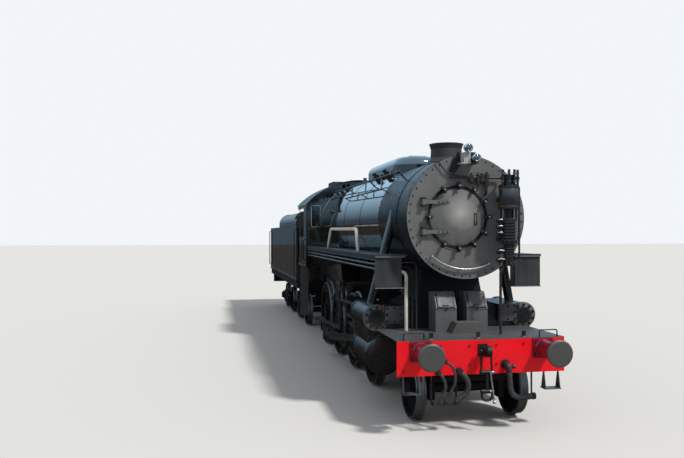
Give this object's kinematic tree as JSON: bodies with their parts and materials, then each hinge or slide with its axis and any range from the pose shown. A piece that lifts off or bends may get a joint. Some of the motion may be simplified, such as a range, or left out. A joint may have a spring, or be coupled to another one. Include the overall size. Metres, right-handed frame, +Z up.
{
  "type": "steam locomotive with tender",
  "caption": "Two-cylinder tender steam locomotive with a leading truck, coupled driving wheels, outside valve gear, a round smokebox door, side air pump and red buffer beam.",
  "frame": {"origin": "under the middle of the engine and tender, on the bottoms of the wheel flanges", "axes": "+Y from the front buffers towards the tender, +X to the right of someone who faces the smokebox, +Z up"},
  "size_m": [2.726, 18.593, 4.0149],
  "materials": {
    "beam_red": "satin red",
    "buffer_red": "dull maroon",
    "gloss_black": "gloss black",
    "satin_black": "satin black",
    "graphite": "dull graphite",
    "frame_black": "oily black",
    "deck_grey": "worn dark grey",
    "cast_black": "cast, painted black",
    "rod_steel": "bright oiled steel",
    "wheel_steel": "black centre with a bright tyre",
    "lamp_white": "pale grey",
    "lagging_pale": "pale pipe lagging",
    "hose_rubber": "black rubber",
    "window_glass": "clear"
  },
  "bodies": {
    "engine": {"main_frame": "frame_black", "axle_springs": "frame_black", "brake_gear": "frame_black", "slide_bars": "rod_steel", "guide_yoke": "frame_black", "valve_gear_left": "rod_steel", "valve_gear_right": "rod_steel", "cylinders": "satin_black", "steam_pipes": "satin_black", "smokebox": "graphite", "smokebox_fittings": "graphite", "chimney": "satin_black", "boiler": "gloss_black", "ashpan": "frame_black", "handrails": "satin_black", "front_pipework": "satin_black", "front_hoses": "hose_rubber", "lagged_pipes": "lagging_pale", "cab_windows": "window_glass", "cab_fittings": "cast_black", "dome_casing": "gloss_black", "air_pump": "cast_black", "headlamps": "lamp_white", "running_boards": "deck_grey", "cooling_pipes": "satin_black", "cab_shell": "gloss_black", "cab_roof": "satin_black", "cab_floor": "deck_grey", "front_beam": "beam_red", "front_deck": "deck_grey", "front_buffers": "buffer_red", "front_coupling": "frame_black", "tool_boxes": "deck_grey"},
    "smokebox_door": {"smokebox_door": "graphite"},
    "tool_box_lid_left": {"tool_box_lid_left": "deck_grey"},
    "tool_box_lid_right": {"tool_box_lid_right": "deck_grey"},
    "pony_truck": {"pony_truck": "frame_black"},
    "pony_wheelset": {"pony_wheelset": "wheel_steel"},
    "driving_wheelset_1": {"driving_wheelset_1": "wheel_steel"},
    "driving_wheelset_2": {"driving_wheelset_2": "wheel_steel"},
    "driving_wheelset_3": {"driving_wheelset_3": "wheel_steel"},
    "driving_wheelset_4": {"driving_wheelset_4": "wheel_steel"},
    "coupling_rod_left": {"coupling_rod_left": "rod_steel"},
    "coupling_rod_right": {"coupling_rod_right": "rod_steel"},
    "main_rod_left": {"main_rod_left": "rod_steel"},
    "main_rod_right": {"main_rod_right": "rod_steel"},
    "crosshead_left": {"crosshead_left": "rod_steel"},
    "crosshead_right": {"crosshead_right": "rod_steel"},
    "bogie_front": {"bogie_front": "frame_black"},
    "bogie_rear": {"bogie_rear": "frame_black"},
    "tender_wheelset_1": {"tender_wheelset_1": "wheel_steel"},
    "tender_wheelset_2": {"tender_wheelset_2": "wheel_steel"},
    "tender_wheelset_3": {"tender_wheelset_3": "wheel_steel"},
    "tender_wheelset_4": {"tender_wheelset_4": "wheel_steel"},
    "tender_hatch_lid": {"tender_hatch_lid": "gloss_black"},
    "tender": {"tender_frame": "frame_black", "tender_tank": "gloss_black", "tender_fittings": "satin_black", "rear_buffers": "buffer_red", "rear_coupling": "frame_black"}
  },
  "joints": [
    {"name": "smokebox_door_hinge", "type": "hinge", "parent": "engine", "child": "smokebox_door", "pos_m": [-0.65, -8.2505, 2.872], "axis": [0, 0, -1], "range_deg": [0, 110]},
    {"name": "tool_box_lid_left_hinge", "type": "hinge", "parent": "engine", "child": "tool_box_lid_left", "pos_m": [-0.255, -7.9365, 1.792], "axis": [-1, 0, 0], "range_deg": [0, 80]},
    {"name": "tool_box_lid_right_hinge", "type": "hinge", "parent": "engine", "child": "tool_box_lid_right", "pos_m": [0.215, -7.9365, 1.792], "axis": [-1, 0, 0], "range_deg": [0, 80]},
    {"name": "pony_truck_swivel", "type": "hinge", "parent": "engine", "child": "pony_truck", "pos_m": [0, -6.5765, 0.607], "axis": [0, 0, 1], "range_deg": [-2.5, 2.5]},
    {"name": "pony_wheelset_spin", "type": "hinge", "parent": "pony_truck", "child": "pony_wheelset", "pos_m": [0, -8.0565, 0.447], "axis": [1, 0, 0], "continuous": true},
    {"name": "driving_wheelset_1_spin", "type": "hinge", "parent": "engine", "child": "driving_wheelset_1", "pos_m": [0, -5.6865, 0.752], "axis": [1, 0, 0], "continuous": true},
    {"name": "driving_wheelset_2_spin", "type": "hinge", "parent": "engine", "child": "driving_wheelset_2", "pos_m": [0, -4.1115, 0.752], "axis": [1, 0, 0], "continuous": true},
    {"name": "driving_wheelset_3_spin", "type": "hinge", "parent": "engine", "child": "driving_wheelset_3", "pos_m": [0, -2.5365, 0.752], "axis": [1, 0, 0], "continuous": true},
    {"name": "driving_wheelset_4_spin", "type": "hinge", "parent": "engine", "child": "driving_wheelset_4", "pos_m": [0, -0.9615, 0.752], "axis": [1, 0, 0], "continuous": true},
    {"name": "coupling_rod_left_pin", "type": "hinge", "parent": "driving_wheelset_3", "child": "coupling_rod_left", "pos_m": [-0.891, -2.5365, 0.422], "axis": [1, 0, 0], "continuous": true},
    {"name": "crosshead_left_slide", "type": "slide", "parent": "engine", "child": "crosshead_left", "axis": [0, 1, 0], "range_m": [-0.3542, 0.3058]},
    {"name": "main_rod_left_pin", "type": "hinge", "parent": "crosshead_left", "child": "main_rod_left", "pos_m": [-1.045, -5.84141, 0.83], "axis": [1, 0, 0], "range_deg": [0, 11.38]},
    {"name": "coupling_rod_right_pin", "type": "hinge", "parent": "driving_wheelset_3", "child": "coupling_rod_right", "pos_m": [0.891, -2.2065, 0.752], "axis": [1, 0, 0], "continuous": true},
    {"name": "crosshead_right_slide", "type": "slide", "parent": "engine", "child": "crosshead_right", "axis": [0, 1, 0], "range_m": [-0.66, 0]},
    {"name": "main_rod_right_pin", "type": "hinge", "parent": "crosshead_right", "child": "main_rod_right", "pos_m": [1.045, -5.53559, 0.83], "axis": [1, 0, 0], "range_deg": [-5.7, 5.68]},
    {"name": "tender_hinge", "type": "hinge", "parent": "engine", "child": "tender", "pos_m": [0, 0.5035, 1.04], "axis": [0, 0, 1], "range_deg": [-5, 5]},
    {"name": "bogie_front_swivel", "type": "hinge", "parent": "tender", "child": "bogie_front", "pos_m": [0, 3.357, 0.85], "axis": [0, 0, 1], "range_deg": [-5, 5]},
    {"name": "bogie_rear_swivel", "type": "hinge", "parent": "tender", "child": "bogie_rear", "pos_m": [0, 6.83, 0.85], "axis": [0, 0, 1], "range_deg": [-5, 5]},
    {"name": "tender_wheelset_1_spin", "type": "hinge", "parent": "bogie_front", "child": "tender_wheelset_1", "pos_m": [0, 2.4935, 0.447], "axis": [1, 0, 0], "continuous": true},
    {"name": "tender_wheelset_2_spin", "type": "hinge", "parent": "bogie_front", "child": "tender_wheelset_2", "pos_m": [0, 4.2205, 0.447], "axis": [1, 0, 0], "continuous": true},
    {"name": "tender_wheelset_3_spin", "type": "hinge", "parent": "bogie_rear", "child": "tender_wheelset_3", "pos_m": [0, 5.9665, 0.447], "axis": [1, 0, 0], "continuous": true},
    {"name": "tender_wheelset_4_spin", "type": "hinge", "parent": "bogie_rear", "child": "tender_wheelset_4", "pos_m": [0, 7.6935, 0.447], "axis": [1, 0, 0], "continuous": true},
    {"name": "tender_hatch_lid_hinge", "type": "hinge", "parent": "tender", "child": "tender_hatch_lid", "pos_m": [0, 7.8885, 2.94], "axis": [-1, 0, 0], "range_deg": [0, 100]}
  ],
  "couplings": [
    {"joint": "driving_wheelset_1_spin", "follows": "driving_wheelset_3_spin", "ratio": 1},
    {"joint": "driving_wheelset_2_spin", "follows": "driving_wheelset_3_spin", "ratio": 1},
    {"joint": "driving_wheelset_4_spin", "follows": "driving_wheelset_3_spin", "ratio": 1},
    {"joint": "coupling_rod_left_pin", "follows": "driving_wheelset_3_spin", "ratio": -1},
    {"joint": "coupling_rod_right_pin", "follows": "driving_wheelset_3_spin", "ratio": -1}
  ]
}
